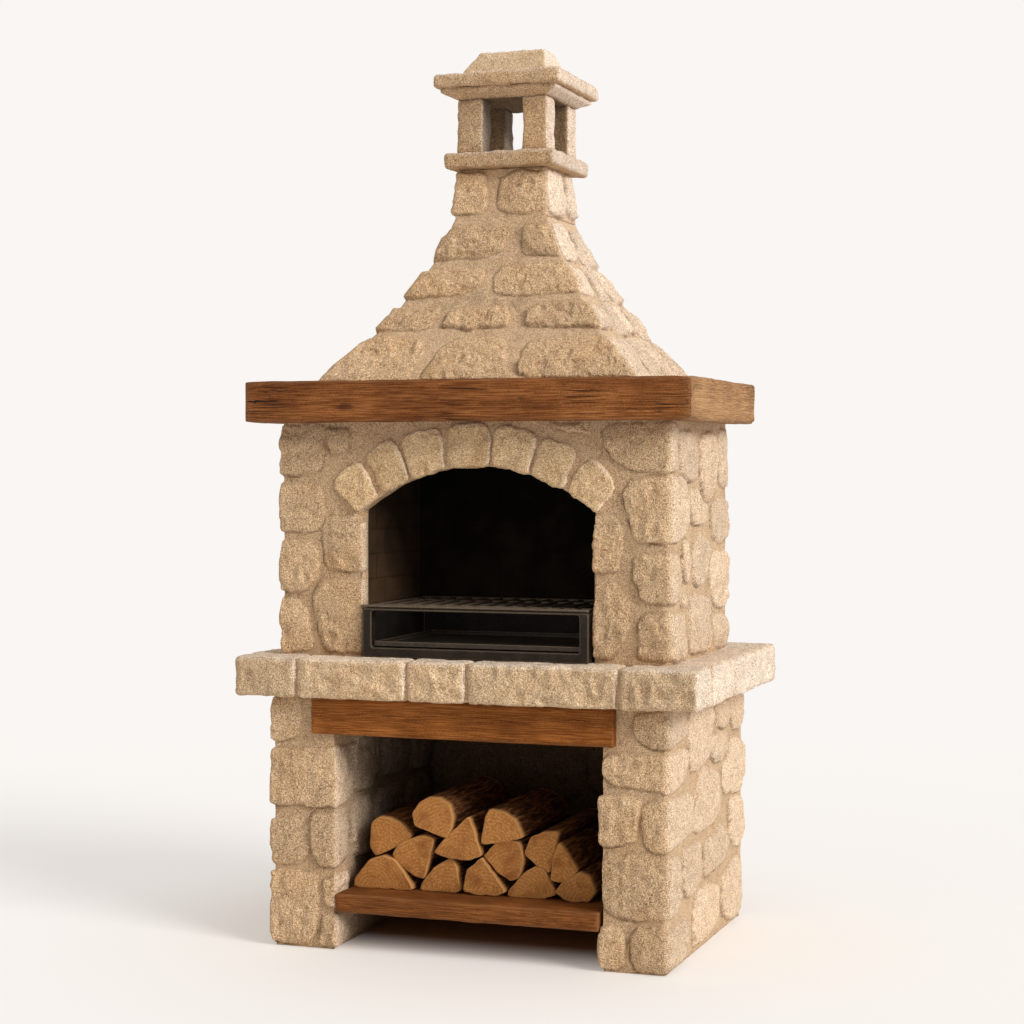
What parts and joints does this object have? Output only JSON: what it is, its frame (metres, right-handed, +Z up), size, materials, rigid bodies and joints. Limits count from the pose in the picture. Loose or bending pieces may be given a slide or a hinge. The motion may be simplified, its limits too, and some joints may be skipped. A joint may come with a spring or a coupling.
{
  "type": "outdoor barbecue",
  "caption": "Outdoor stone barbecue with an arched firebox, timber mantel, tapering smoke hood, vented chimney cap, log bay, and an ember pan and cooking grate that slide out.",
  "frame": {"origin": "centre of the bounding box, on the ground under the piers", "axes": "+Z up, front with the firebox mouth towards -Y, +X to the viewer's right"},
  "size_m": [1.234, 0.846, 2.3502],
  "materials": {
    "stone": "rough split limestone in flush mortar",
    "timber": "oiled, checked and weathered",
    "firebrick": "sooty firebrick",
    "steel": "blackened, slightly worn",
    "firewood": "split wood with bark"
  },
  "bodies": {
    "masonry": {"left_pier": "stone", "right_pier": "stone", "base_rear_wall": "stone", "log_shelf": "timber", "lintel_beam": "timber", "hearth_core": "stone", "hearth_stone_front_left": "stone", "hearth_stone_front_1": "stone", "hearth_stone_front_2": "stone", "hearth_stone_front_3": "stone", "hearth_stone_front_right": "stone", "hearth_stone_right_1": "stone", "hearth_stone_right_2": "stone", "hearth_stone_rear_right": "stone", "hearth_stone_left_1": "stone", "hearth_stone_rear_left": "stone", "hearth_stone_rear": "stone", "firebox_wall_left": "stone", "firebox_wall_right": "stone", "firebox_wall_rear": "stone", "arch_spandrel": "stone", "voussoir_1": "stone", "voussoir_2": "stone", "voussoir_3": "stone", "voussoir_4": "stone", "voussoir_5": "stone", "voussoir_6": "stone", "voussoir_7": "stone", "lining_left": "firebrick", "lining_right": "firebrick", "lining_rear": "firebrick", "grill_front_frame": "steel", "grill_box": "steel", "mantel_front": "timber", "mantel_left": "timber", "mantel_right": "timber", "smoke_hood": "stone", "chimney_neck": "stone", "cap_plate": "stone", "cap_post_front_left": "stone", "cap_post_front_right": "stone", "cap_post_rear_left": "stone", "cap_post_rear_right": "stone", "cap_architrave": "stone", "cap_roof": "stone", "split_log_01": "firewood", "split_log_02": "firewood", "split_log_03": "firewood", "split_log_04": "firewood", "split_log_05": "firewood", "split_log_06": "firewood", "split_log_07": "firewood", "split_log_08": "firewood", "split_log_09": "firewood", "split_log_10": "firewood", "split_log_11": "firewood", "split_log_12": "firewood", "split_log_13": "firewood"},
    "ember_tray": {"ember_pan": "steel"},
    "grate": {"cooking_grate": "steel"}
  },
  "joints": [
    {"name": "ember_pan_slide", "type": "slide", "parent": "masonry", "child": "ember_tray", "axis": [0, -1, 0], "range_m": [0, 0.3]},
    {"name": "cooking_grate_slide", "type": "slide", "parent": "masonry", "child": "grate", "axis": [0, -1, 0], "range_m": [0, 0.3]}
  ]
}
